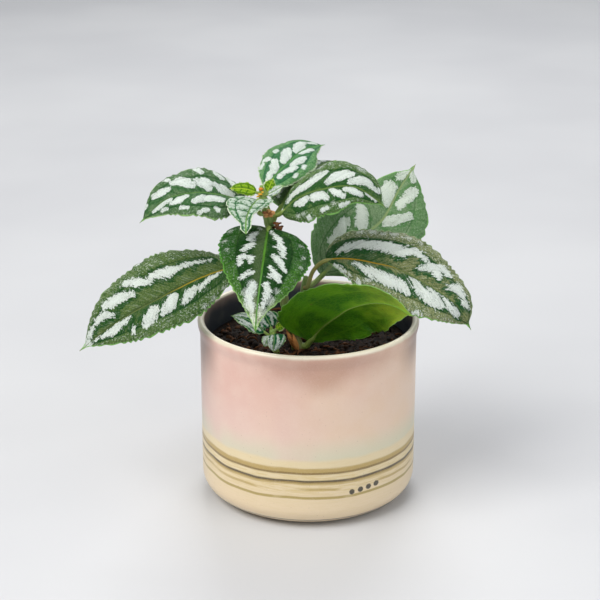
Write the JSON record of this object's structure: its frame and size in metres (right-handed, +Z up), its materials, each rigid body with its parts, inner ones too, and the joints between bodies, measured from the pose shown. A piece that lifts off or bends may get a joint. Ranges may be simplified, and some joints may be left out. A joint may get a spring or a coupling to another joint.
{
  "type": "potted plant",
  "caption": "Small leafy house plant with silver-patched, toothed leaves, standing in soil in a round glazed pot.",
  "frame": {"origin": "middle of the pot's foot, on the surface that the pot stands on", "axes": "+Z up, +X to the right and -Y to the front as the picture shows the plant"},
  "size_m": [0.156, 0.1062, 0.1402],
  "materials": {
    "pot_glaze": "satin",
    "soil": "matte",
    "stem": "satin",
    "branch": "satin",
    "leaf": "satin",
    "leaf_underside": "satin",
    "white_leaf": "satin",
    "tip_leaf": "satin",
    "shoot_leaf": "satin",
    "withered": "matte"
  },
  "bodies": {
    "root": {"pot": "pot_glaze", "soil": "soil", "main_stem": "stem", "side_branch": "branch", "leaf_lower_left": "leaf", "leaf_upper_left": "leaf", "leaf_top": "leaf", "leaf_upper_right": "leaf", "leaf_young_front": "white_leaf", "leaf_front": "leaf", "leaf_right": "leaf", "leaf_back_right": "leaf", "leaf_underside": "leaf_underside", "leaf_back": "leaf", "growing_tip": "tip_leaf", "soil_shoot": "shoot_leaf", "flower_upper": "withered", "flower_lower": "withered"}
  },
  "joints": []
}
